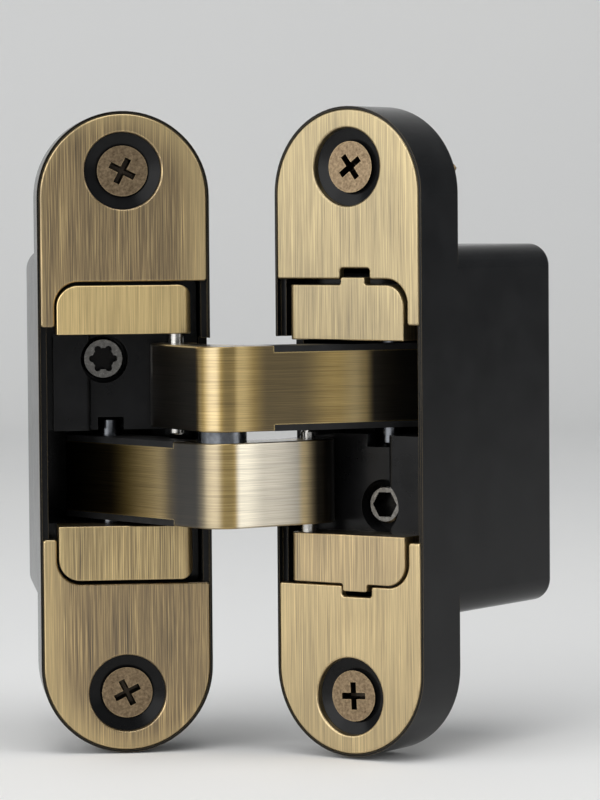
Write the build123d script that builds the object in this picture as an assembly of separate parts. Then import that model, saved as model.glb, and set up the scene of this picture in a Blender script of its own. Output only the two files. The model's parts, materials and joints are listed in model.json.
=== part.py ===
# Concealed hinge for a flush door: two mortised leaves joined by a pair of crossing arms, shown part open.
# Millimetres, +Z up. The jamb leaf's face looks towards -Y and its wood lies at +Y.
# The origin is midway between the jamb's two wood screws, on the back of the screw lobes.
import math
import os

from build123d import *

# Leaf face and housing
leaf_width = 30.0
leaf_height = 112.0
rim_width = 0.4
rim_drop = 0.15
lobe_depth = 12.0
body_depth = 43.6
body_length = 64.0
body_corner = 4.0
body_edge = 1.2
pocket_wall = 1.5
pocket_corner = 2.0
body_end_wall = 4.5
floor_thickness = 2.2
window_gap = 0.3
window_depth = 6.5

# Covers
cover_thickness = 1.3
cover_gap = 0.1
cover_end_gap = 0.65
cover_lip_gap = 0.35
cover_edge = 0.35
cover_corner = 0.5
cover_hole_radius = 6.7
lip_end = 18.5
lip_corner = 4.2
peg_radius = 1.0
peg_length = 3.0
peg_inset = 5.5
peg_drop = 9.6
notch_width = 6.0
notch_height = 1.85
notch_offset = 1.5

# Wood screws
screw_inset = 10.4
screw_length = 35.0
screw_sink = 1.2
screw_head_radius = 4.4
screw_head_rim = 0.15
screw_shank_radius = 2.1
screw_core_radius = 1.6
screw_point = 7.0
screw_hole_radius = 2.5
seat_dish_radius = 6.6
seat_dish_depth = 0.6
recess_span = 4.8
recess_slot = 1.15
recess_depth = 2.4
recess_lean_angle = 7.0
jamb_recess_turns = (-27.0, 26.0)
door_recess_turns = (3.0, 36.0)

# Linkage: front pivot, arm reach and how the arms fold
open_angle = 139.2
face_gap = 4.0
pivot_across = 5.85
pivot_depth = 1.3
arm_reach = 17.9
fold_angle = 41.2
leg_angle = 94.5
slide_reach = 31.5
slide_steps = 8

# Arms and their pins
arm_height = 14.55
arm_split = 0.96
arm_radius = 4.6
leg_end = 9.8
leg_inner = 3.5
leg_end_outer_round = 3.2
leg_end_inner_round = 2.0
hook_radius = 11.3
hook_along = 12.4
hook_inside = 12.3
hook_blend = 2.0
arm_edge = 0.35
glide_start = 7.8
glide_thickness = 1.1
pivot_pin_radius = 1.3
centre_pin_radius = 2.5
slide_pin_radius = 2.0
washer_radius = 4.2
running_gap = 0.04
press_gap = 0.01
washer_gap = 0.03
pin_chamfer = 0.3

# Carriage and end blocks
slide_gap = 0.3
trough_depth = 6.4
land_depth = 3.6
land_inner = 9.35
land_outer = 2.8
land_round = 1.0
middle_face = 0.3
pivot_end_gap = 1.69
slide_end_gap = 0.69
shelf_depth = 7.0
core_wall = 3.0
core_corner = 2.0
core_boss_radius = 7.6
column_width = 7.0
column_front = 18.0
track_depth = 2.2
track_gap = 0.3
slide_pin_reach = 1.8
saddle_half_width = 2.0
saddle_half_height = 0.45
saddle_root = 10.0
block_near = 3.3
block_far_inset = 3.25
block_outer = 25.7
block_proud = 0.6
jamb_block_nose = 2.0
door_block_nose = 1.2
jamb_block_round = 2.2
door_block_bevel = 0.5
block_far_round = 3.7
block_edge = 0.2
block_peg_radius = 1.5
block_peg_length = 4.0
block_peg_inset = 5.0
tab_width = 4.9
tab_height = 1.3
tab_corner = 0.4

# Adjusters
door_floor_gap = 0.05
height_gap = 0.7
adjuster_offset = 3.2
adjuster_height = 12.7
adjuster_head_radius = 3.65
adjuster_head_length = 4.0
adjuster_sink = 0.2
adjuster_shank_radius = 2.9
clamp_head_radius = 3.25
clamp_shank_radius = 2.5
clamp_bore_radius = 4.7
adjuster_neck_radius = 1.75
counterbore_gap = 0.6
adjuster_gap = 0.08
side_travel = 1.5
height_travel = 0.6
height_set = 0.3
socket_radius = 1.9
lobe_radius = 0.6
hex_socket_radius = 2.45
socket_depth = 2.6
clip_radius = 3.6
clip_thickness = 0.8
clip_recess_gap = 0.5
clip_slot = 2.6
floor_web = 1.1

# What follows from these
half_width = leaf_width / 2
half_open = open_angle / 2
screw_height = leaf_height / 2 - screw_inset
peg_height = screw_height - peg_drop
fold_closed = math.degrees(math.asin((face_gap / 2 + pivot_depth) / arm_reach))
fold_rate = (fold_angle - fold_closed) / half_open
slide_offset = (arm_radius - leg_inner) / 2
arm_top = arm_split + arm_height
leg_length = slide_reach + leg_end
window_half = arm_top + height_travel + window_gap
pivot_end_face = arm_top + pivot_end_gap
slide_end_face = arm_top + slide_end_gap
block_far = leaf_width - block_far_inset
land_across = leaf_width - land_inner
land_end = leaf_width - land_outer
notch_across = half_width + notch_offset
adjuster_across = half_width + adjuster_offset
cover_inner = block_outer + cover_end_gap
lip_across = block_far + cover_lip_gap
carriage_half = body_length / 2 - body_end_wall
carriage_back = body_depth - floor_thickness - slide_gap - side_travel
jamb_floor = body_depth - floor_thickness
door_floor = carriage_back + door_floor_gap
jamb_pocket_half = carriage_half + slide_gap
door_pocket_half = carriage_half + height_travel + height_gap
beyond = 1.0


# Places on the jamb leaf: u runs across the face from the pull-side edge, w runs inward from the cover face
def across(u):
    return half_width - u


def inward(w):
    return w - lobe_depth


def facing(w):
    return Plane(origin=(0, inward(w), 0), x_dir=(1, 0, 0), z_dir=(0, -1, 0))


def cut_inward(sketch, w_from, w_to):
    return extrude(facing(w_to) * sketch, w_to - w_from, dir=(0, -1, 0))


def upright(sketch, z_from, z_to):
    return extrude(Plane.XY.offset(z_from) * sketch, z_to - z_from, dir=(0, 0, 1))


def slab(u_from, u_to, w_from, w_to, z_from, z_to):
    centre = Pos(across((u_from + u_to) / 2), inward((w_from + w_to) / 2), (z_from + z_to) / 2)
    return centre * Box(u_to - u_from, w_to - w_from, z_to - z_from)


# A turned solid on an axis along Y, from (radius, w) points
def turned(points, u, z):
    return Pos(across(u), inward(0), z) * revolve(make_face(Polyline(*points, close=True)), Axis.Y)


# A round bar along Z at a place on the leaf
def bar(radius, u, w, z_from, z_to):
    return Pos(across(u), inward(w), (z_from + z_to) / 2) * Cylinder(radius, z_to - z_from)


# Where the arms cross, on the leaf, for half the opening angle
def centre_place(half_angle):
    turn = math.radians(half_angle + fold_closed + fold_rate * half_angle)
    return (
        pivot_across + arm_reach * math.cos(turn),
        pivot_depth - arm_reach * math.sin(turn),
    )


# Where the slide pin of the other leaf's arm runs, on the leaf
def slide_place(half_angle):
    turn = math.radians(leg_angle - fold_closed - fold_rate * half_angle + half_angle)
    u, w = centre_place(half_angle)
    return (
        u - slide_reach * math.cos(turn) + slide_offset * math.sin(turn),
        w + slide_reach * math.sin(turn) + slide_offset * math.cos(turn),
    )


centre_across, centre_depth = centre_place(half_open)
centre = Vector(across(centre_across), inward(centre_depth), 0)
bisector = Vector(-math.cos(math.radians(half_open)), -math.sin(math.radians(half_open)), 0)
half_turn = Axis(centre, bisector)


# The door leaf and the lower arm are the jamb leaf and the upper arm turned over about the bisector
def turned_over(solid):
    return solid.rotate(half_turn, 180)


# The door leaf stands a little above the middle of its height travel
def raised(solid):
    return Pos(0, 0, height_set) * turned_over(solid)


def leaf_outline(inset):
    return SlotOverall(leaf_height - 2 * inset, leaf_width - 2 * inset, rotation=90)


# Cast housing: screw lobes, deep middle body, carriage pocket and arm window on the pull side
def housing(pocket_half, floor_depth):
    body = cut_inward(leaf_outline(0), rim_drop, lobe_depth)
    deep = cut_inward(RectangleRounded(leaf_width, body_length, body_corner), rim_drop, body_depth)
    back = deep.faces().sort_by(Axis.Y)[-1]
    body += fillet(back.edges(), body_edge)
    body -= cut_inward(leaf_outline(rim_width), 0, cover_thickness)
    pocket = RectangleRounded(leaf_width - 2 * pocket_wall, 2 * pocket_half, pocket_corner)
    body -= cut_inward(pocket, 0, floor_depth)
    body -= slab(-beyond, pocket_wall + beyond, 0, window_depth, -window_half, window_half)
    for z in (screw_height, -screw_height):
        body -= turned(screw_seat_points(), half_width, z)
    for z in (peg_height, -peg_height):
        for u in (peg_inset, leaf_width - peg_inset):
            hole = [
                (0, 0),
                (peg_radius + press_gap, 0),
                (peg_radius + press_gap, cover_thickness + peg_length + press_gap),
                (0, cover_thickness + peg_length + press_gap),
            ]
            body -= turned(hole, u, z)
    return body


# Dish, countersink and clearance hole under a wood screw's head
def screw_seat_points():
    dish_end = cover_thickness + seat_dish_depth
    cone_start = screw_head_radius + screw_sink + screw_head_rim + running_gap - dish_end
    cone_end = dish_end + cone_start - screw_hole_radius
    return [
        (0, 0),
        (seat_dish_radius, 0),
        (seat_dish_radius, cover_thickness),
        (screw_head_radius + running_gap, dish_end),
        (cone_start, dish_end),
        (screw_hole_radius, cone_end),
        (screw_hole_radius, lobe_depth + beyond),
        (0, lobe_depth + beyond),
    ]


def jamb_housing():
    web_back = jamb_floor + floor_web
    hole = [
        (0, jamb_floor - beyond),
        (adjuster_neck_radius + adjuster_gap, jamb_floor - beyond),
        (adjuster_neck_radius + adjuster_gap, web_back),
        (clip_radius + clip_recess_gap, web_back),
        (clip_radius + clip_recess_gap, body_depth + beyond),
        (0, body_depth + beyond),
    ]
    return housing(jamb_pocket_half, jamb_floor) - turned(hole, adjuster_across, adjuster_height)


def door_housing():
    hole = [
        (0, door_floor - beyond),
        (clamp_shank_radius + press_gap, door_floor - beyond),
        (clamp_shank_radius + press_gap, body_depth + beyond),
        (0, body_depth + beyond),
    ]
    return housing(door_pocket_half, door_floor) - turned(hole, adjuster_across, adjuster_height)


# Cover plate of the upper lobe, with the lip that runs down beside the end block
def upper_cover(notched):
    outline = leaf_outline(rim_width + cover_gap)
    below = Pos(0, lip_end - leaf_height / 2) * Rectangle(2 * leaf_width, leaf_height)
    inner = Polygon(
        (across(lip_across), 0),
        (leaf_width, 0),
        (leaf_width, cover_inner),
        (across(lip_across), cover_inner),
        align=None,
    )
    corner = inner.vertices().group_by(Axis.X)[0].sort_by(Axis.Y)[-1]
    inner = fillet(corner, lip_corner)
    sketch = outline - below - inner - Pos(0, screw_height) * Circle(cover_hole_radius)
    if notched:
        notch = Rectangle(notch_width, 2 * notch_height)
        sketch -= Pos(across(notch_across), cover_inner) * notch
    levels = (lip_end, cover_inner, cover_inner + notch_height)
    corners = sketch.vertices().filter_by(lambda v: min(abs(v.Y - level) for level in levels) < press_gap)
    corners = corners.filter_by(lambda v: abs(v.X - across(lip_across) - lip_corner) > press_gap)
    sketch = fillet(corners, cover_corner)
    plate = cut_inward(sketch, 0, cover_thickness)
    plate = fillet(plate.faces().sort_by(Axis.Y)[0].edges(), cover_edge)
    for u in (peg_inset, leaf_width - peg_inset):
        peg = [
            (0, cover_thickness / 2),
            (peg_radius, cover_thickness / 2),
            (peg_radius, cover_thickness + peg_length),
            (0, cover_thickness + peg_length),
        ]
        plate += turned(peg, u, peg_height)
    return plate


def lower_cover(notched):
    return mirror(upper_cover(notched), about=Plane.XY)


# Brass end block of the upper end, on the carriage's shelf; the door's have a tab in the cover's notch
def upper_end_block(inner_face, on_door):
    face = Polygon(
        (across(block_near), inner_face),
        (across(block_near), block_outer),
        (across(block_far), block_outer),
        (across(block_far), inner_face),
        align=None,
    )
    outer = face.vertices().group_by(Axis.Y)[-1].sort_by(Axis.X)
    face = fillet(outer[0], block_far_round)
    near = face.vertices().group_by(Axis.Y)[-1].sort_by(Axis.X)[-1]
    face = chamfer(near, door_block_bevel) if on_door else fillet(near, jamb_block_round)
    block = cut_inward(face, -block_proud, shelf_depth)
    if on_door:
        tabbed = face + Pos(across(notch_across), block_outer) * Rectangle(tab_width, 2 * tab_height)
        tab_sides = (across(notch_across) - tab_width / 2, across(notch_across) + tab_width / 2)
        corners = tabbed.vertices().filter_by(lambda v: min(abs(v.X - side) for side in tab_sides) < press_gap)
        block += cut_inward(fillet(corners, tab_corner), -block_proud, cover_thickness)
    plan = Polygon(
        (across(block_near), inward(-block_proud)),
        (across(block_near), inward(shelf_depth)),
        (across(block_far), inward(shelf_depth)),
        (across(block_far), inward(-block_proud)),
        align=None,
    )
    nose = plan.vertices().group_by(Axis.Y)[0].sort_by(Axis.X)[-1]
    nose_round = door_block_nose if on_door else jamb_block_nose
    block &= upright(fillet(nose, nose_round), 0, block_outer + 2 * tab_height)
    front = block.faces().sort_by(Axis.Y)[0]
    flank = across(block_near + nose_round)
    block = fillet(front.edges().filter_by(lambda e: e.center().X < flank - press_gap), block_edge)
    middle = (inner_face + block_outer) / 2
    for u in (block_near + block_peg_inset, block_far - block_peg_inset):
        peg = [
            (0, shelf_depth - beyond),
            (block_peg_radius, shelf_depth - beyond),
            (block_peg_radius, shelf_depth + block_peg_length),
            (0, shelf_depth + block_peg_length),
        ]
        block += turned(peg, u, middle)
    return block


def pivot_end_block(on_door):
    bore = bar(pivot_pin_radius + press_gap, pivot_across, pivot_depth, 0, block_outer + beyond)
    return upper_end_block(pivot_end_face, on_door) - bore


def slide_end_block(on_door):
    return mirror(upper_end_block(slide_end_face, on_door), about=Plane.XY)


# Path of the slide pin as a chain of arcs, widened to a track
def track_outline():
    places = []
    for step in range(slide_steps + 1):
        u, w = slide_place(90.0 * step / slide_steps)
        places.append((across(u), inward(w)))
    arcs = []
    for first in range(0, slide_steps, 2):
        arcs.append(ThreePointArc(*places[first : first + 3]))
    path = Wire(arcs)
    return make_face(path.offset_2d(slide_pin_radius + track_gap))


# Cast carriage: pivot half above, cored from the back around the screw's boss, and open slide half below,
# tied by a column in the deep pull-side corner
def carriage():
    near = pocket_wall + slide_gap
    far = leaf_width - near
    section = Polygon(
        (across(near), inward(carriage_back)),
        (across(near), inward(trough_depth)),
        (across(land_across), inward(trough_depth)),
        (across(land_across), inward(land_depth)),
        (across(land_end), inward(land_depth)),
        (across(land_end), inward(shelf_depth)),
        (across(far), inward(shelf_depth)),
        (across(far), inward(carriage_back)),
        align=None,
    )
    land = section.vertices().group_by(Axis.Y)[0].sort_by(Axis.X)[-1]
    section = fillet(land, land_round)
    body = upright(section, middle_face, pivot_end_face)
    body += slab(near, far, shelf_depth, carriage_back, pivot_end_face, carriage_half)
    body += slab(near, far, shelf_depth, carriage_back, -carriage_half, -slide_end_face)
    body += slab(near, near + column_width, column_front, carriage_back, -slide_end_face, middle_face)
    body += slab(
        pivot_across - saddle_half_width,
        pivot_across + saddle_half_width,
        pivot_depth,
        saddle_root,
        -saddle_half_height,
        saddle_half_height,
    )
    body &= cut_inward(RectangleRounded(far - near, 2 * carriage_half, pocket_corner), 0, carriage_back)
    body -= bar(pivot_pin_radius + press_gap, pivot_across, pivot_depth, -beyond, block_outer)
    track = track_outline()
    body -= upright(track, middle_face - beyond, middle_face + track_depth)
    body -= upright(track, -slide_end_face - track_depth, -slide_end_face)
    rest_across, rest_depth = slide_place(half_open)
    mouth = slide_pin_radius + track_gap
    body -= slab(
        rest_across - mouth,
        rest_across + mouth,
        land_depth,
        rest_depth,
        -beyond,
        middle_face + track_depth,
    )
    core_low = middle_face + track_depth + core_wall
    core_top = carriage_half - core_wall
    core = Pos(0, (core_low + core_top) / 2) * RectangleRounded(
        far - near - 2 * core_wall,
        core_top - core_low,
        core_corner,
    )
    core -= Pos(across(adjuster_across), adjuster_height) * Circle(core_boss_radius)
    body -= cut_inward(core, shelf_depth + block_peg_length + core_wall, carriage_back)
    for inner_face, side in ((pivot_end_face, 1), (slide_end_face, -1)):
        for u in (block_near + block_peg_inset, block_far - block_peg_inset):
            hole = [
                (0, shelf_depth - beyond),
                (block_peg_radius + press_gap, shelf_depth - beyond),
                (block_peg_radius + press_gap, shelf_depth + block_peg_length + press_gap),
                (0, shelf_depth + block_peg_length + press_gap),
            ]
            body -= turned(hole, u, side * (inner_face + block_outer) / 2)
    return body


# A counterbored hole along Y through the carriage, from two outlines
def adjuster_hole(head_shape, shank_shape, floor_at):
    place = Pos(across(adjuster_across), adjuster_height)
    hole = cut_inward(place * head_shape, land_depth - beyond, floor_at)
    return hole + cut_inward(place * shank_shape, floor_at - beyond, carriage_back + beyond)


# The jamb's screw keeps its place in the housing, so its head is sunk and cleared by the side travel
def jamb_screw_face():
    return trough_depth + adjuster_sink + side_travel


def jamb_carriage():
    head = Circle(adjuster_head_radius + counterbore_gap)
    shank = Circle(adjuster_shank_radius + adjuster_gap)
    floor_at = jamb_screw_face() + adjuster_head_length + side_travel + adjuster_gap
    return carriage() - adjuster_hole(head, shank, floor_at)


# The door's clamp screw has a wide bore for its head and a slot for its shank, for the height travel
def door_carriage():
    head = Circle(clamp_bore_radius)
    shank = SlotCenterToCenter(2 * height_travel, 2 * (clamp_shank_radius + adjuster_gap), rotation=90)
    floor_at = trough_depth + adjuster_sink + adjuster_head_length
    return carriage() - adjuster_hole(head, shank, floor_at)


# A driving socket, cut into an adjuster's head whose face is at a depth
def socket(outline, face_depth):
    place = Pos(across(adjuster_across), adjuster_height)
    return cut_inward(place * outline, face_depth, face_depth + socket_depth)


def jamb_adjusting_screw():
    face = jamb_screw_face()
    shoulder = jamb_floor - adjuster_gap
    clip_at = jamb_floor + floor_web + adjuster_gap
    groove = adjuster_neck_radius - pin_chamfer
    points = [
        (0, face),
        (adjuster_head_radius - pin_chamfer, face),
        (adjuster_head_radius, face + pin_chamfer),
        (adjuster_head_radius, face + adjuster_head_length),
        (adjuster_shank_radius, face + adjuster_head_length),
        (adjuster_shank_radius, shoulder),
        (adjuster_neck_radius, shoulder),
        (adjuster_neck_radius, clip_at - press_gap),
        (groove, clip_at - press_gap),
        (groove, clip_at + clip_thickness),
        (adjuster_neck_radius, clip_at + clip_thickness),
        (adjuster_neck_radius, body_depth - running_gap),
        (0, body_depth - running_gap),
    ]
    six_lobe = Circle(socket_radius)
    six_lobe += PolarLocations(socket_radius, 6) * Circle(lobe_radius)
    return turned(points, adjuster_across, adjuster_height) - socket(six_lobe, face)


# Open spring clip in the groove of the jamb's adjusting screw, behind the pocket floor
def jamb_screw_clip():
    clip_at = jamb_floor + floor_web + adjuster_gap
    bore = adjuster_neck_radius - pin_chamfer + press_gap
    ring = Circle(clip_radius) - Circle(bore)
    ring -= Pos(0, -clip_radius) * Rectangle(clip_slot, 2 * clip_radius)
    ring = Pos(across(adjuster_across), adjuster_height) * ring
    return cut_inward(ring, clip_at, clip_at + clip_thickness - press_gap)


def door_clamp_screw():
    face = trough_depth + adjuster_sink
    points = [
        (0, face),
        (clamp_head_radius - pin_chamfer, face),
        (clamp_head_radius, face + pin_chamfer),
        (clamp_head_radius, face + adjuster_head_length - press_gap),
        (clamp_shank_radius, face + adjuster_head_length - press_gap),
        (clamp_shank_radius, body_depth - pin_chamfer),
        (0, body_depth - pin_chamfer),
    ]
    hexagon = RegularPolygon(hex_socket_radius, 6)
    return turned(points, adjuster_across, adjuster_height) - socket(hexagon, face)


# Countersunk wood screws of one leaf, each with a cross recess at its own turn
def wood_screws(recess_turns):
    tip = screw_sink + screw_length
    cone = screw_sink + screw_head_rim
    shank_end = lobe_depth - (screw_shank_radius - screw_core_radius)
    points = [
        (0, screw_sink),
        (screw_head_radius, screw_sink),
        (screw_head_radius, cone),
        (screw_shank_radius, cone + screw_head_radius - screw_shank_radius),
        (screw_shank_radius, shank_end),
        (screw_core_radius, lobe_depth),
        (screw_core_radius, tip - screw_point),
        (0, tip),
    ]
    screws = []
    for z, turn in zip((screw_height, -screw_height), recess_turns):
        screw = turned(points, half_width, z)
        for slot_turn in (turn, turn + 90):
            slot = Pos(0, z) * Rot(0, 0, slot_turn) * Rectangle(recess_span, recess_slot)
            screw -= extrude(facing(screw_sink) * slot, -recess_depth, taper=recess_lean_angle)
        screws.append(screw)
    return Compound(children=screws)


def pivot_pin():
    pin = bar(pivot_pin_radius, pivot_across, pivot_depth, -saddle_half_height, block_outer - pin_chamfer)
    return chamfer(pin.edges(), pin_chamfer)


# Plan of an arm with the arms' crossing at the origin and the deep leg along +X
def arm_plan():
    lean = math.radians(leg_angle)
    pivot = (arm_reach * math.cos(lean), arm_reach * math.sin(lean))
    middle = Pos(pivot[0] / 2, pivot[1] / 2) * Rot(0, 0, leg_angle)
    short_leg = middle * SlotCenterToCenter(arm_reach, 2 * arm_radius)
    long_leg = Polygon(
        (0, -arm_radius),
        (leg_length, -arm_radius),
        (leg_length, leg_inner),
        (0, leg_inner),
        align=None,
    )
    ends = long_leg.vertices().group_by(Axis.X)[-1].sort_by(Axis.Y)
    long_leg = fillet(ends[0], leg_end_outer_round)
    inner_end = long_leg.vertices().group_by(Axis.X)[-1].sort_by(Axis.Y)[-1]
    long_leg = fillet(inner_end, leg_end_inner_round)
    corner = Polygon((0, 0), (hook_along + hook_radius / 2, 0), pivot, align=None)
    hook = Pos(hook_along, hook_inside) * Circle(hook_radius)
    plan = short_leg + long_leg + corner - hook
    hook_centre = Vector(hook_along, hook_inside)
    on_hook = plan.vertices().filter_by(
        lambda v: abs((Vector(v) - hook_centre).length - hook_radius) < press_gap
    )
    return fillet(on_hook, hook_blend)


def arm_frame():
    pivot = Vector(across(pivot_across), inward(pivot_depth), 0)
    heading = (pivot - centre).rotate(Axis.Z, -leg_angle)
    return Plane(origin=centre, x_dir=heading, z_dir=(0, 0, 1))


def arm_piece(solid):
    return arm_frame().location * solid


def glide_plan():
    length = leg_length - glide_start
    strip = Pos(glide_start + length / 2, 0) * Rectangle(length, 4 * arm_radius)
    return arm_plan() & strip


def slide_pin_hole(radius):
    return Pos(slide_reach, -slide_offset) * Circle(radius)


def upper_arm():
    body = upright(arm_plan(), arm_split, arm_top)
    edges = body.faces().sort_by(Axis.Z)[0].edges() + body.faces().sort_by(Axis.Z)[-1].edges()
    body = fillet(edges, arm_edge)
    rebate = Pos(glide_start + leg_length / 2, 0) * Rectangle(leg_length, 4 * arm_radius)
    body -= upright(rebate, arm_split - beyond, arm_split + glide_thickness)
    body -= upright(rebate, arm_top - glide_thickness, arm_top + beyond)
    lean = math.radians(leg_angle)
    pivot = Pos(arm_reach * math.cos(lean), arm_reach * math.sin(lean))
    bores = Circle(centre_pin_radius + running_gap)
    bores += pivot * Circle(pivot_pin_radius + running_gap)
    bores += slide_pin_hole(slide_pin_radius + press_gap)
    body -= upright(bores, arm_split - beyond, arm_top + beyond)
    return arm_piece(body)


def arm_glide(z_from):
    strip = glide_plan() - slide_pin_hole(slide_pin_radius + press_gap)
    return arm_piece(upright(strip, z_from, z_from + glide_thickness))


def lower_glide():
    return arm_glide(arm_split)


def upper_glide():
    return arm_glide(arm_top - glide_thickness)


def slide_pin():
    low = -middle_face - slide_pin_reach
    high = slide_end_face + slide_pin_reach
    pin = Pos(slide_reach, -slide_offset, (low + high) / 2) * Cylinder(slide_pin_radius, high - low)
    return arm_piece(chamfer(pin.edges(), pin_chamfer))


def centre_pin():
    pin = Cylinder(centre_pin_radius, 2 * arm_top)
    return Pos(centre) * chamfer(pin.edges(), pin_chamfer)


def centre_washer():
    ring = Circle(washer_radius) - Circle(centre_pin_radius + running_gap)
    return Pos(centre) * upright(ring, -arm_split + washer_gap, arm_split - washer_gap)


pieces = {
    "jamb_housing": jamb_housing(),
    "jamb_carriage": jamb_carriage(),
    "jamb_upper_cover": upper_cover(False),
    "jamb_lower_cover": lower_cover(False),
    "jamb_upper_end_block": pivot_end_block(False),
    "jamb_lower_end_block": slide_end_block(False),
    "jamb_pivot_pin": pivot_pin(),
    "jamb_adjusting_screw": jamb_adjusting_screw(),
    "jamb_screw_clip": jamb_screw_clip(),
    "jamb_wood_screws": wood_screws(jamb_recess_turns),
    "door_housing": raised(door_housing()),
    "door_carriage": turned_over(door_carriage()),
    "door_upper_cover": raised(lower_cover(True)),
    "door_lower_cover": raised(upper_cover(True)),
    "door_upper_end_block": turned_over(slide_end_block(True)),
    "door_lower_end_block": turned_over(pivot_end_block(True)),
    "door_pivot_pin": turned_over(pivot_pin()),
    "door_clamp_screw": raised(door_clamp_screw()),
    "door_wood_screws": raised(wood_screws(door_recess_turns)),
    "upper_arm": upper_arm(),
    "upper_arm_top_glide": upper_glide(),
    "upper_arm_bottom_glide": lower_glide(),
    "upper_arm_slide_pin": slide_pin(),
    "lower_arm": turned_over(upper_arm()),
    "lower_arm_top_glide": turned_over(lower_glide()),
    "lower_arm_bottom_glide": turned_over(upper_glide()),
    "lower_arm_slide_pin": turned_over(slide_pin()),
    "centre_pin": centre_pin(),
    "centre_washer": centre_washer(),
}

os.makedirs("parts", exist_ok=True)
for name, piece in pieces.items():
    export_step(piece, f"parts/{name}.step")

print("pivot on the jamb", across(pivot_across), inward(pivot_depth))
print("centre", centre.X, centre.Y)
print("bisector", bisector.X, bisector.Y)
print("fold closed", fold_closed, "fold rate", fold_rate)
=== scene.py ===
import json
import math

import bpy
from mathutils import Matrix, Vector


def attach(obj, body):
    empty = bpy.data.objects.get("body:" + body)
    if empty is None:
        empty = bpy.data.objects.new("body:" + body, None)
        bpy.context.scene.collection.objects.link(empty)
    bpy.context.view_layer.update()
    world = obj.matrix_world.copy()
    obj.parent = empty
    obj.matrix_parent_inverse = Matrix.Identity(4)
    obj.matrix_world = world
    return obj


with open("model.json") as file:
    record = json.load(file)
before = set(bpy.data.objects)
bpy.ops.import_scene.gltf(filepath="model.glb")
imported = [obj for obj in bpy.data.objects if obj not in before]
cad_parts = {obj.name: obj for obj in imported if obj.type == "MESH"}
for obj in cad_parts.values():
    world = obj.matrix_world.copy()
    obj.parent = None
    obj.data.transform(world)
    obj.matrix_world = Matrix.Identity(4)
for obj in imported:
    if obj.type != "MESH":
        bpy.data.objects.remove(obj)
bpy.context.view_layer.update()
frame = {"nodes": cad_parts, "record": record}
parts = frame["nodes"]
print("frame loaded with", len(parts), "nodes")


# Small helpers for node trees
def startMaterial(name):
    material = bpy.data.materials.new(name)
    material.use_nodes = True
    tree = material.node_tree
    return material, tree, tree.nodes["Principled BSDF"]


def addNode(tree, kind, **settings):
    node = tree.nodes.new(kind)
    for key, value in settings.items():
        setattr(node, key, value)
    return node


def join(tree, source, target):
    tree.links.new(source, target)


def feed(tree, socket, value):  # a socket takes a link or a plain value
    if hasattr(value, "is_linked"):
        join(tree, value, socket)
    else:
        socket.default_value = value


def calculate(tree, operation, *values):
    node = addNode(tree, "ShaderNodeMath", operation=operation)
    for socket, value in zip(node.inputs, values):
        feed(tree, socket, value)
    return node.outputs["Value"]


def mixColor(tree, blend, factor, first, second):
    node = addNode(tree, "ShaderNodeMix", data_type="RGBA", blend_type=blend)
    for place, value in ((0, factor), (6, first), (7, second)):  # where a colour mix has its sockets
        feed(tree, node.inputs[place], value)
    return node.outputs[2]


def grey(value):
    return (value, value, value, 1.0)


def stretchedNoise(tree, scale, detail):  # noise on object coordinates, one scale per axis
    levels, roughness = detail
    coordinates = addNode(tree, "ShaderNodeTexCoord")
    mapping = addNode(tree, "ShaderNodeMapping")
    mapping.inputs["Scale"].default_value = scale
    noise = addNode(tree, "ShaderNodeTexNoise")
    noise.inputs["Scale"].default_value = 1.0
    noise.inputs["Detail"].default_value = levels
    noise.inputs["Roughness"].default_value = roughness
    join(tree, coordinates.outputs["Object"], mapping.inputs["Vector"])
    join(tree, mapping.outputs["Vector"], noise.inputs["Vector"])
    return noise.outputs["Fac"]


def ramp(tree, factor, stops, colors):
    node = addNode(tree, "ShaderNodeValToRGB")
    band = node.color_ramp
    while len(band.elements) < len(stops):
        band.elements.new(0.5)
    for element, position, color in zip(band.elements, stops, colors):
        element.position = position
        element.color = color
    join(tree, factor, node.inputs["Fac"])
    return node.outputs["Color"]


def spread(tree, factor, low, high):  # a 0..1 value taken to low..high
    node = addNode(tree, "ShaderNodeMapRange")
    node.inputs["To Min"].default_value = low
    node.inputs["To Max"].default_value = high
    join(tree, factor, node.inputs["Value"])
    return node.outputs["Result"]


def softStep(tree, value, start, end, top=1.0):  # 0 up to the start, the top value past the end
    node = addNode(tree, "ShaderNodeMapRange", interpolation_type="SMOOTHSTEP")
    node.inputs["From Min"].default_value = start
    node.inputs["From Max"].default_value = end
    node.inputs["To Max"].default_value = top
    join(tree, value, node.inputs["Value"])
    return node.outputs["Result"]


def bump(tree, height, strength, distance):
    node = addNode(tree, "ShaderNodeBump")
    node.inputs["Strength"].default_value = strength
    node.inputs["Distance"].default_value = distance
    join(tree, height, node.inputs["Height"])
    return node.outputs["Normal"]


def alongHeading(tree, origin, heading):  # how far a point lies from the origin along a heading
    coordinates = addNode(tree, "ShaderNodeTexCoord")
    offset = addNode(tree, "ShaderNodeVectorMath", operation="SUBTRACT")
    offset.inputs[1].default_value = origin
    dot = addNode(tree, "ShaderNodeVectorMath", operation="DOT_PRODUCT")
    dot.inputs[1].default_value = heading
    join(tree, coordinates.outputs["Object"], offset.inputs[0])
    join(tree, offset.outputs["Vector"], dot.inputs[0])
    return dot.outputs["Value"]


def alongMask(tree, origin, heading, start, end):  # 0 up to the start, 1 past the end, along a heading
    return softStep(tree, alongHeading(tree, origin, heading), start, end)


# Wear shows where a softened normal leans away from the true one
edgeLook = {"samples": 6, "flat": 1.0, "edge": 0.7}


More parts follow.
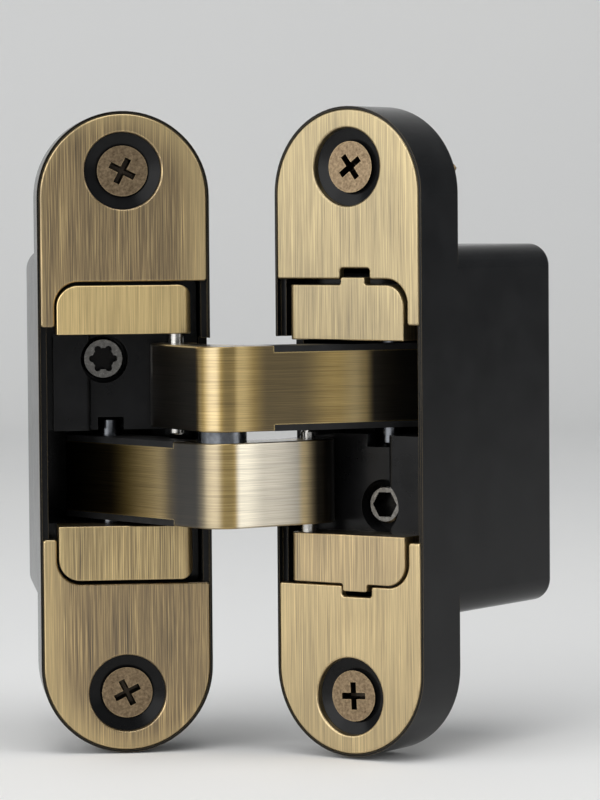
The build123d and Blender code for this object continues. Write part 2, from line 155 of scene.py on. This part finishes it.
def edgeWear(tree, look):  # how worn a surface is, from the flat up to its edges
    soft = addNode(tree, "ShaderNodeBevel", samples=edgeLook["samples"])
    soft.inputs["Radius"].default_value = look["wearRadius"]
    plain = addNode(tree, "ShaderNodeNewGeometry")
    dot = addNode(tree, "ShaderNodeVectorMath", operation="DOT_PRODUCT")
    join(tree, soft.outputs["Normal"], dot.inputs[0])
    join(tree, plain.outputs["Normal"], dot.inputs[1])
    node = addNode(tree, "ShaderNodeMapRange")
    node.inputs["From Min"].default_value = edgeLook["flat"]
    node.inputs["From Max"].default_value = edgeLook["edge"]
    join(tree, dot.outputs["Value"], node.inputs["Value"])
    stops, worn = zip(*look["wear"])
    return ramp(tree, node.outputs["Result"], stops, [grey(share) for share in worn])


brushUp = (0.0007, 0.0011, 1.0)  # a hair off upright, so that level faces get a direction too


def levelTangent(tree):  # the level direction along an upright surface, for the brushed gloss
    plain = addNode(tree, "ShaderNodeNewGeometry")
    cross = addNode(tree, "ShaderNodeVectorMath", operation="CROSS_PRODUCT")
    cross.inputs[1].default_value = brushUp
    join(tree, plain.outputs["Normal"], cross.inputs[0])
    return cross.outputs["Vector"]


# How the leaves lie: a point on the axis between the wood screws, the way across and the way in
leaves = {
    "jamb": {
        "foot": (0.0, 0.0, 0.0),
        "across": (1.0, 0.0, 0.0),
        "heading": (0.0, 1.0, 0.0),
        "lift": 0.0,
    },
    "door": {
        "foot": (0.04517, -0.016799, 0.0),
        "across": (0.756995, -0.653421, 0.0),
        "heading": (0.653421, 0.756995, 0.0),
        "lift": 0.0003,
    },
}

# Gold shows through towards a leaf's outline, more to the right on the upper pieces and to the left below
rimGold = {
    "straightHalf": 0.041,
    "lean": 0.002,
    "start": 0.0105,
    "end": 0.0158,
    "depth": {"jamb": 0.42, "door": 0.08},
}


def towardsRim(tree, leaf):  # 0 over the middle of a leaf's face, up to the depth at its outline
    foot = leaves[leaf]["foot"]
    height = alongHeading(tree, foot, (0.0, 0.0, 1.0))
    across = alongHeading(tree, foot, leaves[leaf]["across"])
    side = calculate(tree, "MULTIPLY_ADD", calculate(tree, "SIGN", height), rimGold["lean"], across)
    past = calculate(tree, "SUBTRACT", calculate(tree, "ABSOLUTE", height), rimGold["straightHalf"])
    flat = addNode(tree, "ShaderNodeCombineXYZ")
    feed(tree, flat.inputs["X"], side)
    feed(tree, flat.inputs["Y"], calculate(tree, "MAXIMUM", past, 0.0))
    length = addNode(tree, "ShaderNodeVectorMath", operation="LENGTH")
    join(tree, flat.outputs["Vector"], length.inputs[0])
    return softStep(tree, length.outputs["Value"], rimGold["start"], rimGold["end"], rimGold["depth"][leaf])


# Antique brass under lacquer: covers and end blocks brushed upright, arms brushed along
brushed = {
    "lineDetail": (3.0, 0.6),
    "lineStops": (0.34, 0.5, 0.66),
    "lineBump": 0.5,
    "patinaDetail": (3.0, 0.5),
    "patinaStops": (0.3, 0.65),
    "patinaShade": 0.78,
    "patinaShare": 0.8,
}
coverBrass = {
    **brushed,
    "fineScale": (9500.0, 9500.0, 70.0),
    "broadScale": (5200.0, 5200.0, 30.0),
    "broadShare": 0.3,
    "patinaScale": (130.0, 130.0, 60.0),
    "dark": (0.14, 0.106, 0.05, 1.0),
    "middle": (0.34, 0.26, 0.124, 1.0),
    "bright": (0.6, 0.478, 0.237, 1.0),
    "edge": (0.76, 0.57, 0.26, 1.0),
    "wearRadius": 0.0006,
    "wear": ((0.0, 0.0), (0.2, 0.15), (0.8, 0.7)),
    "roughness": (0.3, 0.4),
    "lineDepth": 0.000005,
    "stretch": 0.6,
    "stretchTurn": 0.0,
    "lacquer": 1.65,
    "lacquerRoughness": 0.3,
}
# darker copy of the cover brass for the jamb's covers: painted shade
jambCoverBrassPaintedShade = {
    **coverBrass,
    "dark": (0.03, 0.02, 0.009, 1.0),
    "middle": (0.258, 0.174, 0.075, 1.0),
    "bright": (0.74, 0.54, 0.24, 1.0),
}
# brighter copy of the cover brass for the door's lower cover, which mirrors the floor: painted light
doorLowerCoverBrassPaintedLight = {
    **coverBrass,
    "dark": (0.25, 0.186, 0.088, 1.0),
    "middle": (0.5, 0.373, 0.178, 1.0),
    "bright": (0.76, 0.59, 0.288, 1.0),
}
# brighter copy of the cover brass for the door's lower block: painted light
doorLowerBlockBrassPaintedLight = {
    **coverBrass,
    "dark": (0.15, 0.107, 0.051, 1.0),
    "middle": (0.41, 0.297, 0.14, 1.0),
    "bright": (0.71, 0.535, 0.26, 1.0),
}
# much brighter copy of the cover brass for the jamb's upper block: painted light
jambUpperBlockBrassPaintedLight = {
    **coverBrass,
    "dark": (0.42, 0.296, 0.12, 1.0),
    "middle": (0.67, 0.492, 0.204, 1.0),
    "bright": (0.86, 0.655, 0.305, 1.0),
}
# copy of the cover brass, brighter in the middle and darker in its low tones, for the jamb's lower block:
# painted light and shade
jambLowerBlockBrassPaintedLight = {
    **coverBrass,
    "dark": (0.07, 0.046, 0.019, 1.0),
    "middle": (0.4, 0.284, 0.116, 1.0),
    "bright": (0.86, 0.655, 0.305, 1.0),
}
armBrass = {
    **brushed,
    "fineScale": (90.0, 90.0, 14500.0),
    "broadScale": (40.0, 40.0, 7200.0),
    "broadShare": 0.35,
    "patinaScale": (60.0, 60.0, 220.0),
    "dark": (0.265, 0.174, 0.048, 1.0),
    "middle": (0.45, 0.303, 0.088, 1.0),
    "bright": (0.66, 0.465, 0.155, 1.0),
    "edge": (0.8, 0.6, 0.26, 1.0),
    "wearRadius": 0.0005,
    "wear": ((0.0, 0.0), (0.3, 0.15), (0.8, 0.75)),
    "roughness": (0.36, 0.44),
    "lineDepth": 0.000004,
    "stretch": 0.45,
    "stretchTurn": 0.25,
    "lacquer": 1.5,
    "lacquerRoughness": 0.2,
}
# darker copy of the arm brass for the lower arm, the same metal as the upper arm: painted shade
lowerArmBrassPaintedShade = {
    **armBrass,
    "dark": (0.215, 0.144, 0.042, 1.0),
    "middle": (0.37, 0.254, 0.077, 1.0),
    "bright": (0.56, 0.4, 0.14, 1.0),
}

# Painted light on the arms, measured along their legs from the centre pin: dark and black zones are painted
# dark reflection and shade with some patina; pale, the whitest and gold zones are painted highlights and
# reflections
armPatinaAndPaintedLight = {
    "centre": (0.015506, -0.027433, 0.0),
    "grain": (0.62, 1.0),
    "grainStops": (0.36, 0.62),
    "tones": {
        "black": (0.055, 0.054, 0.053, 1.0),
        "dark": (0.016, 0.0135, 0.0105, 1.0),
        "pale": (0.555, 0.507, 0.415, 1.0),
        "paintedHighlight": (0.94, 0.86, 0.68, 1.0),
        "gold": (0.78, 0.575, 0.25, 1.0),
    },
    "legs": {
        "upperShort": (-0.3551, 0.9348, 0.0),
        "upperDeep": (0.9598, 0.2807, 0.0),
        "lowerShort": (0.8797, 0.4756, 0.0),
        "lowerDeep": (-0.5432, 0.8396, 0.0),
    },
}

# Each zone: its tone, its leg, where it sets in, where it fades out again, and how strong it is
# Upper arm: the black flank of the short leg and the dark bands on the nose and deep leg are painted dark
# reflection with some patina, black at the deep end is painted shade; the whitest and gold zones are
# painted highlight and reflection
upperArmZones = (
    ("black", "upperShort", (-0.0006, 0.0012), None, 0.94),
    ("paintedHighlight", "upperDeep", (-0.0043, -0.0034), (-0.0027, -0.0017), 0.24),
    ("dark", "upperDeep", (-0.0024, -0.001), (0.0002, 0.0014), 0.36),
    ("gold", "upperDeep", (0.0002, 0.0014), (0.0018, 0.0045), 0.8),
    ("dark", "upperDeep", (0.002, 0.0068), (0.012, 0.021), 0.74),
    ("gold", "upperDeep", (0.0195, 0.0235), None, 0.95),
    ("black", "upperDeep", (0.0247, 0.0266), None, 0.94),
)
# Lower arm: pale and the whitest zones on the nose and short flat are painted highlight and reflection,
# gold bands are painted reflected light, dark zones are painted dark reflection and shade with some patina,
# darkest at the ends inside the leaves
lowerArmZones = (
    ("pale", "lowerShort", (-0.0053, -0.0046), (-0.0034, -0.0022), 0.45),
    ("pale", "lowerShort", (-0.0009, 0.0008), None, 0.95),
    ("paintedHighlight", "lowerShort", (-0.0006, 0.0008), (0.0015, 0.0058), 0.8),
    ("gold", "lowerShort", (0.0122, 0.0138), None, 0.7),
    ("dark", "lowerShort", (0.0138, 0.0168), None, 0.96),
    ("dark", "lowerDeep", (-0.0018, 0.002), (0.006, 0.0135), 0.96),
    ("gold", "lowerDeep", (0.0085, 0.0125), (0.0165, 0.022), 0.6),
    ("dark", "lowerDeep", (0.0195, 0.0265), None, 0.85),
)


# lays one zone of an arm's painted highlights, reflections and shade over its colour
def addZone(tree, tone, grain, zone):
    color, leg, rise, fall, depth = zone
    origin, heading = armPatinaAndPaintedLight["centre"], armPatinaAndPaintedLight["legs"][leg]
    cover = alongMask(tree, origin, heading, *rise)
    if fall:
        cover = calculate(tree, "SUBTRACT", cover, alongMask(tree, origin, heading, *fall))
    lined = mixColor(tree, "MULTIPLY", 1.0, grain, armPatinaAndPaintedLight["tones"][color])
    return mixColor(tree, "MIX", spread(tree, cover, 0.0, depth), tone, lined)


def brushedBrass(name, look, zones=(), leaf=None):
    material, tree, shader = startMaterial(name)
    fine = stretchedNoise(tree, look["fineScale"], look["lineDetail"])
    broad = stretchedNoise(tree, look["broadScale"], look["lineDetail"])
    patina = stretchedNoise(tree, look["patinaScale"], look["patinaDetail"])
    lines = mixColor(tree, "MIX", look["broadShare"], fine, broad)
    tone = ramp(tree, lines, look["lineStops"], (look["dark"], look["middle"], look["bright"]))
    shade = ramp(tree, patina, look["patinaStops"], (grey(look["patinaShade"]), grey(1.0)))
    tone = mixColor(tree, "MULTIPLY", look["patinaShare"], tone, shade)
    if leaf:
        tone = mixColor(tree, "MIX", towardsRim(tree, leaf), tone, look["edge"])
    # the arms' zones of painted highlights, reflections and shade, with some patina, laid over the brass
    if zones:
        grain = ramp(tree, lines, armPatinaAndPaintedLight["grainStops"], [grey(level) for level in armPatinaAndPaintedLight["grain"]])
        for zone in zones:
            tone = addZone(tree, tone, grain, zone)
    tone = mixColor(tree, "MIX", edgeWear(tree, look), tone, look["edge"])
    join(tree, tone, shader.inputs["Base Color"])
    join(tree, spread(tree, broad, *look["roughness"]), shader.inputs["Roughness"])
    join(tree, bump(tree, lines, look["lineBump"], look["lineDepth"]), shader.inputs["Normal"])
    join(tree, levelTangent(tree), shader.inputs["Tangent"])
    shader.inputs["Metallic"].default_value = 1.0
    shader.inputs["Anisotropic"].default_value = look["stretch"]
    shader.inputs["Anisotropic Rotation"].default_value = look["stretchTurn"]
    shader.inputs["Coat Weight"].default_value = 1.0
    shader.inputs["Coat Roughness"].default_value = look["lacquerRoughness"]
    shader.inputs["Coat IOR"].default_value = look["lacquer"]
    return material


# Black coating on the castings over the grain of the cast skin; the housings' rims are rubbed to gold
blackCoat = {
    "grainScale": (2600.0, 2600.0, 2600.0),
    "grainDetail": (2.0, 0.5),
    "grainBump": 0.25,
    "grainDepth": 0.000012,
    "cloudScale": (140.0, 140.0, 140.0),
    "cloudDetail": (4.0, 0.6),
    "cloudStops": (0.3, 0.7),
    "low": (0.003, 0.003, 0.0032, 1.0),
    "high": (0.008, 0.008, 0.0084, 1.0),
    "carriageEdge": (0.035, 0.034, 0.032, 1.0),
    "housingEdge": (0.2, 0.15, 0.075, 1.0),
    "wearRadius": 0.00022,
    "wear": ((0.0, 0.0), (0.3, 0.0), (0.95, 0.7)),
    "roughness": (0.14, 0.25),
    "gloss": 0.15,
}

# Matt black glide plates of the arms
glide = {
    "grainScale": (3000.0, 3000.0, 3000.0),
    "grainDetail": (2.0, 0.5),
    "grainBump": 0.3,
    "grainDepth": 0.000012,
    "cloudScale": (300.0, 300.0, 300.0),
    "cloudDetail": (3.0, 0.6),
    "cloudStops": (0.3, 0.7),
    "low": (0.006, 0.006, 0.006, 1.0),
    "high": (0.014, 0.014, 0.0145, 1.0),
    "roughness": (0.42, 0.6),
    "gloss": 0.25,
}


def cloudyBlack(name, look, edge=None):
    material, tree, shader = startMaterial(name)
    grain = stretchedNoise(tree, look["grainScale"], look["grainDetail"])
    cloud = stretchedNoise(tree, look["cloudScale"], look["cloudDetail"])
    tone = ramp(tree, cloud, look["cloudStops"], (look["low"], look["high"]))
    if edge:
        tone = mixColor(tree, "MIX", edgeWear(tree, look), tone, edge)
    join(tree, tone, shader.inputs["Base Color"])
    join(tree, spread(tree, cloud, *look["roughness"]), shader.inputs["Roughness"])
    join(tree, bump(tree, grain, look["grainBump"], look["grainDepth"]), shader.inputs["Normal"])
    shader.inputs["Specular IOR Level"].default_value = look["gloss"]
    return material


# Painted shade: a socket or recess is painted dark just under its head's face; the depths run along the
# leaf's heading
recessShade = {"start": 0.0001, "end": 0.0005}
headFaces = {"jambAdjuster": -0.0039, "doorClamp": -0.0054, "woodScrews": -0.0108}


def darkInside(tree, tone, leaf, face, color):
    place = leaves[leaf]
    start, end = face + recessShade["start"], face + recessShade["end"]
    return mixColor(tree, "MIX", alongMask(tree, place["foot"], place["heading"], start, end), tone, color)


# Turned steel: bright on the pivot pins, duller on the adjusters, dark on the slide pins and the washer
brightSteel = {
    "ringScale": (500.0, 500.0, 9000.0),
    "ringDetail": (2.0, 0.5),
    "ringBump": 0.3,
    "ringDepth": 0.000004,
    "stainScale": (900.0, 900.0, 900.0),
    "stainDetail": (4.0, 0.6),
    "stainStops": (0.3, 0.62),
    "dark": (0.34, 0.33, 0.31, 1.0),
    "bright": (0.5, 0.485, 0.46, 1.0),
    "roughness": (0.18, 0.3),
}
dullSteel = {
    **brightSteel,
    "ringScale": (5200.0, 5200.0, 5200.0),
    "ringDepth": 0.000003,
    "stainScale": (1500.0, 1500.0, 1500.0),
    "dark": (0.11, 0.104, 0.096, 1.0),
    "bright": (0.19, 0.182, 0.17, 1.0),
    "roughness": (0.2, 0.32),
    # painted shade for the adjusters' sockets
    "socket": (0.012, 0.0115, 0.011, 1.0),
}
darkSteel = {
    **brightSteel,
    "ringDepth": 0.000003,
    "stainScale": (500.0, 500.0, 500.0),
    "dark": (0.06, 0.063, 0.07, 1.0),
    "bright": (0.15, 0.157, 0.17, 1.0),
    "roughness": (0.14, 0.26),
}


def turnedSteel(name, look, leaf=None, face=0.0):
    material, tree, shader = startMaterial(name)
    rings = stretchedNoise(tree, look["ringScale"], look["ringDetail"])
    stain = stretchedNoise(tree, look["stainScale"], look["stainDetail"])
    tone = ramp(tree, stain, look["stainStops"], (look["dark"], look["bright"]))
    # painted shade in the socket under the head's face
    if leaf:
        tone = darkInside(tree, tone, leaf, face, look["socket"])
    join(tree, tone, shader.inputs["Base Color"])
    join(tree, spread(tree, stain, *look["roughness"]), shader.inputs["Roughness"])
    join(tree, bump(tree, rings, look["ringBump"], look["ringDepth"]), shader.inputs["Normal"])
    shader.inputs["Metallic"].default_value = 1.0
    return material


# Bronzed wood screws, rubbed brighter on the head's edges, with painted shade in the cross recess
bronze = {
    "mottleScale": (2100.0, 2100.0, 2100.0),
    "mottleDetail": (4.0, 0.65),
    "mottleStops": (0.3, 0.66),
    "speckScale": (5200.0, 5200.0, 5200.0),
    "speckDetail": (2.0, 0.5),
    "speckBump": 0.4,
    "speckDepth": 0.000004,
    "dark": (0.115, 0.08, 0.048, 1.0),
    "bright": (0.31, 0.228, 0.14, 1.0),
    "edge": (0.6, 0.45, 0.25, 1.0),
    # painted shade for the cross recess
    "recess": (0.045, 0.036, 0.027, 1.0),
    "wearRadius": 0.00022,
    "wear": ((0.0, 0.0), (0.3, 0.1), (0.85, 0.8)),
    "roughness": (0.32, 0.42),
    "shankStart": (-0.002, -0.001),  # the recess's painted shade ends here
}


def screwBronze(name, leaf=None, face=0.0):
    material, tree, shader = startMaterial(name)
    mottle = stretchedNoise(tree, bronze["mottleScale"], bronze["mottleDetail"])
    speck = stretchedNoise(tree, bronze["speckScale"], bronze["speckDetail"])
    tone = ramp(tree, mottle, bronze["mottleStops"], (bronze["dark"], bronze["bright"]))
    tone = mixColor(tree, "MIX", edgeWear(tree, bronze), tone, bronze["edge"])
    # painted shade in the cross recess, taken off again along the shank
    if leaf:
        place = leaves[leaf]
        inside = darkInside(tree, tone, leaf, face, bronze["recess"])
        shank = alongMask(tree, place["foot"], place["heading"], *bronze["shankStart"])
        tone = mixColor(tree, "MIX", shank, inside, tone)
    join(tree, tone, shader.inputs["Base Color"])
    join(tree, spread(tree, mottle, *bronze["roughness"]), shader.inputs["Roughness"])
    join(tree, bump(tree, speck, bronze["speckBump"], bronze["speckDepth"]), shader.inputs["Normal"])
    shader.inputs["Metallic"].default_value = 1.0
    return material


# Finishes by the record's slots, and pieces with a finish of their own
finishes = {
    "antique_brass": brushedBrass("blockBrass", coverBrass),
    "black_casting": cloudyBlack("castingBlack", blackCoat, blackCoat["carriageEdge"]),
    "steel": turnedSteel("brightSteel", brightSteel),
    "dark_steel": turnedSteel("darkSteel", darkSteel),
    "bronzed_screw": screwBronze("threadBronze"),
    "black_glide": cloudyBlack("glideBlack", glide),
}
jambCovers = brushedBrass("jambCoverBrassPaintedShade", jambCoverBrassPaintedShade, leaf="jamb")
rimBlack = cloudyBlack("rimBlack", blackCoat, blackCoat["housingEdge"])
ownFinishes = {
    "upper_arm": brushedBrass("upperArmBrass", armBrass, upperArmZones),
    "lower_arm": brushedBrass("lowerArmBrassPaintedShade", lowerArmBrassPaintedShade, lowerArmZones),
    "jamb_upper_cover": jambCovers,
    "jamb_lower_cover": jambCovers,
    "door_upper_cover": brushedBrass("doorUpperCoverBrass", coverBrass, leaf="door"),
    "door_lower_cover": brushedBrass("doorLowerCoverBrassPaintedLight", doorLowerCoverBrassPaintedLight, leaf="door"),
    "jamb_upper_end_block": brushedBrass("jambUpperBlockBrassPaintedLight", jambUpperBlockBrassPaintedLight),
    "jamb_lower_end_block": brushedBrass("jambLowerBlockBrassPaintedLight", jambLowerBlockBrassPaintedLight, leaf="jamb"),
    "door_lower_end_block": brushedBrass("doorLowerBlockBrassPaintedLight", doorLowerBlockBrassPaintedLight),
    "jamb_housing": rimBlack,
    "door_housing": rimBlack,
    "jamb_adjusting_screw": turnedSteel("jambAdjusterSteel", dullSteel, "jamb", headFaces["jambAdjuster"]),
    "door_clamp_screw": turnedSteel("doorClampSteel", dullSteel, "door", headFaces["doorClamp"]),
    "jamb_wood_screws": screwBronze("jambScrewBronze", "jamb", headFaces["woodScrews"]),
    "door_wood_screws": screwBronze("doorScrewBronze", "door", headFaces["woodScrews"]),
}


def dress(piece, finish):
    piece.data.materials.clear()
    piece.data.materials.append(finish)


for entry in frame["record"]["subparts"]:
    node = entry["node"]
    dress(parts[node], ownFinishes.get(node) or finishes[entry["material_slot"]])
print("finishes given to the solids")


# Ridge of a wood screw's thread, modelled once along +Z with the point's start at 0
thread = {
    "pitch": 0.0022,
    "rootRadius": 0.00148,
    "crestRadius": 0.00225,
    "rootHalf": 0.00042,
    "turns": 10,
    "pointTurns": 3,
    "steps": 28,
    "pointTaper": -0.9,
    "smoothAngle": 35,
}


def makeThread(name):
    bpy.ops.object.select_all(action="DESELECT")
    bpy.ops.mesh.primitive_circle_add(vertices=3, radius=1.0)
    ridge = bpy.context.object
    ridge.name = name
    start = -(thread["turns"] - thread["pointTurns"]) * thread["pitch"]
    corners = (
        (thread["crestRadius"], 0.0, start),
        (thread["rootRadius"], 0.0, start + thread["rootHalf"]),
        (thread["rootRadius"], 0.0, start - thread["rootHalf"]),
    )
    for vertex, corner in zip(ridge.data.vertices, corners):
        vertex.co = corner
    helix = ridge.modifiers.new("helix", "SCREW")
    helix.axis = "Z"
    helix.steps = thread["steps"]
    helix.render_steps = thread["steps"]
    helix.iterations = thread["turns"]
    helix.screw_offset = thread["pitch"]
    helix.use_merge_vertices = False
    bpy.ops.object.modifier_apply(modifier=helix.name)
    point = ridge.modifiers.new("point", "SIMPLE_DEFORM")
    point.deform_method = "TAPER"
    point.deform_axis = "Z"
    point.factor = thread["pointTaper"]
    lowest = min(v.co.z for v in ridge.data.vertices)
    highest = max(v.co.z for v in ridge.data.vertices)
    point.limits = (-lowest / (highest - lowest), 1.0)
    bpy.ops.object.modifier_apply(modifier=point.name)
    bpy.ops.object.mode_set(mode="EDIT")
    bpy.ops.mesh.select_all(action="SELECT")
    bpy.ops.mesh.fill_holes(sides=0)
    bpy.ops.mesh.normals_make_consistent(inside=False)
    bpy.ops.object.mode_set(mode="OBJECT")
    bpy.ops.object.shade_smooth_by_angle(angle=math.radians(thread["smoothAngle"]))
    return ridge


# How far the screws stand from the leaf's middle, and how deep their points begin
screwPlaces = {"height": 0.0456, "pointStart": 0.0172}


def placeThreads():
    for leaf, place in leaves.items():
        heading = Vector(place["heading"]).normalized()
        turn = heading.to_track_quat("Z", "Y").to_matrix().to_4x4()
        for level, sign in (("upper", 1), ("lower", -1)):
            ridge = makeThread(f"{leaf}_{level}_screw_thread")
            height = sign * screwPlaces["height"] + place["lift"]
            foot = Vector(place["foot"]) + Vector((0.0, 0.0, height))
            ridge.matrix_world = Matrix.Translation(foot + heading * screwPlaces["pointStart"]) @ turn
            bpy.ops.object.transform_apply(location=True, rotation=True, scale=True)
            dress(ridge, finishes["bronzed_screw"])
            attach(ridge, f"{leaf}_leaf")


placeThreads()
print("screw threads in place")


# Plain pale floor that sweeps up to a backdrop
floor = {
    "level": -0.0562,
    "half": 3.0,
    "backAt": 1.35,
    "wall": 1.4,
    "sweep": 0.4,
    "segments": 24,
    "nearBack": 0.001,
    "warm": (0.85, 0.84, 0.82, 1.0),
    "cool": (0.8245, 0.819, 0.8077, 1.0),
    "cloudScale": (3.0, 3.0, 3.0),
    "cloudDetail": (3.0, 0.5),
    "cloudStops": (0.3, 0.7),
    "roughness": 0.85,
}


def makeFloor():
    bpy.ops.object.select_all(action="DESELECT")
    middle = (0, floor["backAt"] - floor["half"], floor["level"])
    bpy.ops.mesh.primitive_plane_add(size=2 * floor["half"], location=middle)
    ground = bpy.context.object
    ground.name = "floor"
    bpy.ops.object.transform_apply(location=True)
    bpy.ops.object.mode_set(mode="EDIT")
    bpy.ops.mesh.select_all(action="DESELECT")
    bpy.ops.object.mode_set(mode="OBJECT")
    for edge in ground.data.edges:
        ends = [ground.data.vertices[i].co.y for i in edge.vertices]
        edge.select = min(ends) > floor["backAt"] - floor["nearBack"]
    bpy.ops.object.mode_set(mode="EDIT")
    bpy.ops.mesh.select_mode(type="EDGE")
    bpy.ops.mesh.extrude_region_move(TRANSFORM_OT_translate={"value": (0, 0, floor["wall"])})
    bpy.ops.object.mode_set(mode="OBJECT")
    rounding = ground.modifiers.new("sweep", "BEVEL")
    rounding.width = floor["sweep"]
    rounding.segments = floor["segments"]
    rounding.limit_method = "ANGLE"
    bpy.ops.object.modifier_apply(modifier=rounding.name)
    bpy.ops.object.shade_smooth()
    material, tree, shader = startMaterial("floorPaint")
    cloud = stretchedNoise(tree, floor["cloudScale"], floor["cloudDetail"])
    paint = ramp(tree, cloud, floor["cloudStops"], (floor["cool"], floor["warm"]))
    join(tree, paint, shader.inputs["Base Color"])
    shader.inputs["Roughness"].default_value = floor["roughness"]
    ground.data.materials.append(material)


makeFloor()
print("floor and backdrop set")


# Soft studio light
studio = {
    "worldColor": (0.9, 0.95, 1.0, 1.0),
    "worldStrength": 0.3,
    "boxes": {
        "leftBox": {"azimuth": -51, "elevation": 7, "reach": 1.35, "size": (1.95, 1.9), "power": 21.6},
        "leftCore": {"azimuth": -43, "elevation": 7, "reach": 1.3, "size": (0.75, 1.8), "power": 3.6},
        "rightBox": {"azimuth": 62, "elevation": 7, "reach": 1.35, "size": (0.54, 1.5), "power": 6.5},
        "topBox": {"azimuth": 0, "elevation": 72, "reach": 1.1, "size": (0.9, 0.9), "power": 6.4},
    },
    "aim": (0.02, -0.012, 0.0),
}


def lightStudio():
    world = bpy.data.worlds.new("studioAir")
    bpy.context.scene.world = world
    world.use_nodes = True
    air = world.node_tree.nodes["Background"]
    air.inputs["Color"].default_value = studio["worldColor"]
    air.inputs["Strength"].default_value = studio["worldStrength"]
    aim = Vector(studio["aim"])
    for name, box in studio["boxes"].items():
        side, lift = math.radians(box["azimuth"]), math.radians(box["elevation"])
        away = Vector((math.sin(side) * math.cos(lift), -math.cos(side) * math.cos(lift), math.sin(lift)))
        bpy.ops.object.light_add(type="AREA", location=aim + away * box["reach"])
        lamp = bpy.context.object
        lamp.name = name
        lamp.rotation_euler = away.to_track_quat("Z", "Y").to_euler()
        lamp.data.shape = "RECTANGLE"
        lamp.data.size, lamp.data.size_y = box["size"]
        lamp.data.energy = box["power"]


lightStudio()
print("lights set")


# Camera at the photograph's viewing angle
camera = {
    "target": (0.0307, -0.012, 0.00534),
    "azimuth": -6.65,
    "elevation": 2.83,
    "roll": -0.437,
    "distance": 0.6625,
    "lens": 170.2,
    "sensor": 36.0,
    "clip": (0.01, 20.0),
}


def placeCamera():
    side, lift, lean = (math.radians(camera[key]) for key in ("azimuth", "elevation", "roll"))
    ahead = Vector((-math.sin(side) * math.cos(lift), math.cos(side) * math.cos(lift), -math.sin(lift)))
    level = Vector((math.cos(side), math.sin(side), 0.0))
    above = level.cross(ahead)
    right = level * math.cos(lean) + above * math.sin(lean)
    up = above * math.cos(lean) - level * math.sin(lean)
    eye = Vector(camera["target"]) - ahead * camera["distance"]
    bpy.ops.object.camera_add(location=eye)
    lens = bpy.context.object
    lens.name = "photoCamera"
    lens.matrix_world = Matrix.Translation(eye) @ Matrix((right, up, -ahead)).transposed().to_4x4()
    lens.data.lens = camera["lens"]
    lens.data.sensor_width = camera["sensor"]
    lens.data.clip_start, lens.data.clip_end = camera["clip"]
    bpy.context.scene.camera = lens


placeCamera()
bpy.context.scene.view_settings.view_transform = "Standard"
print("camera set")
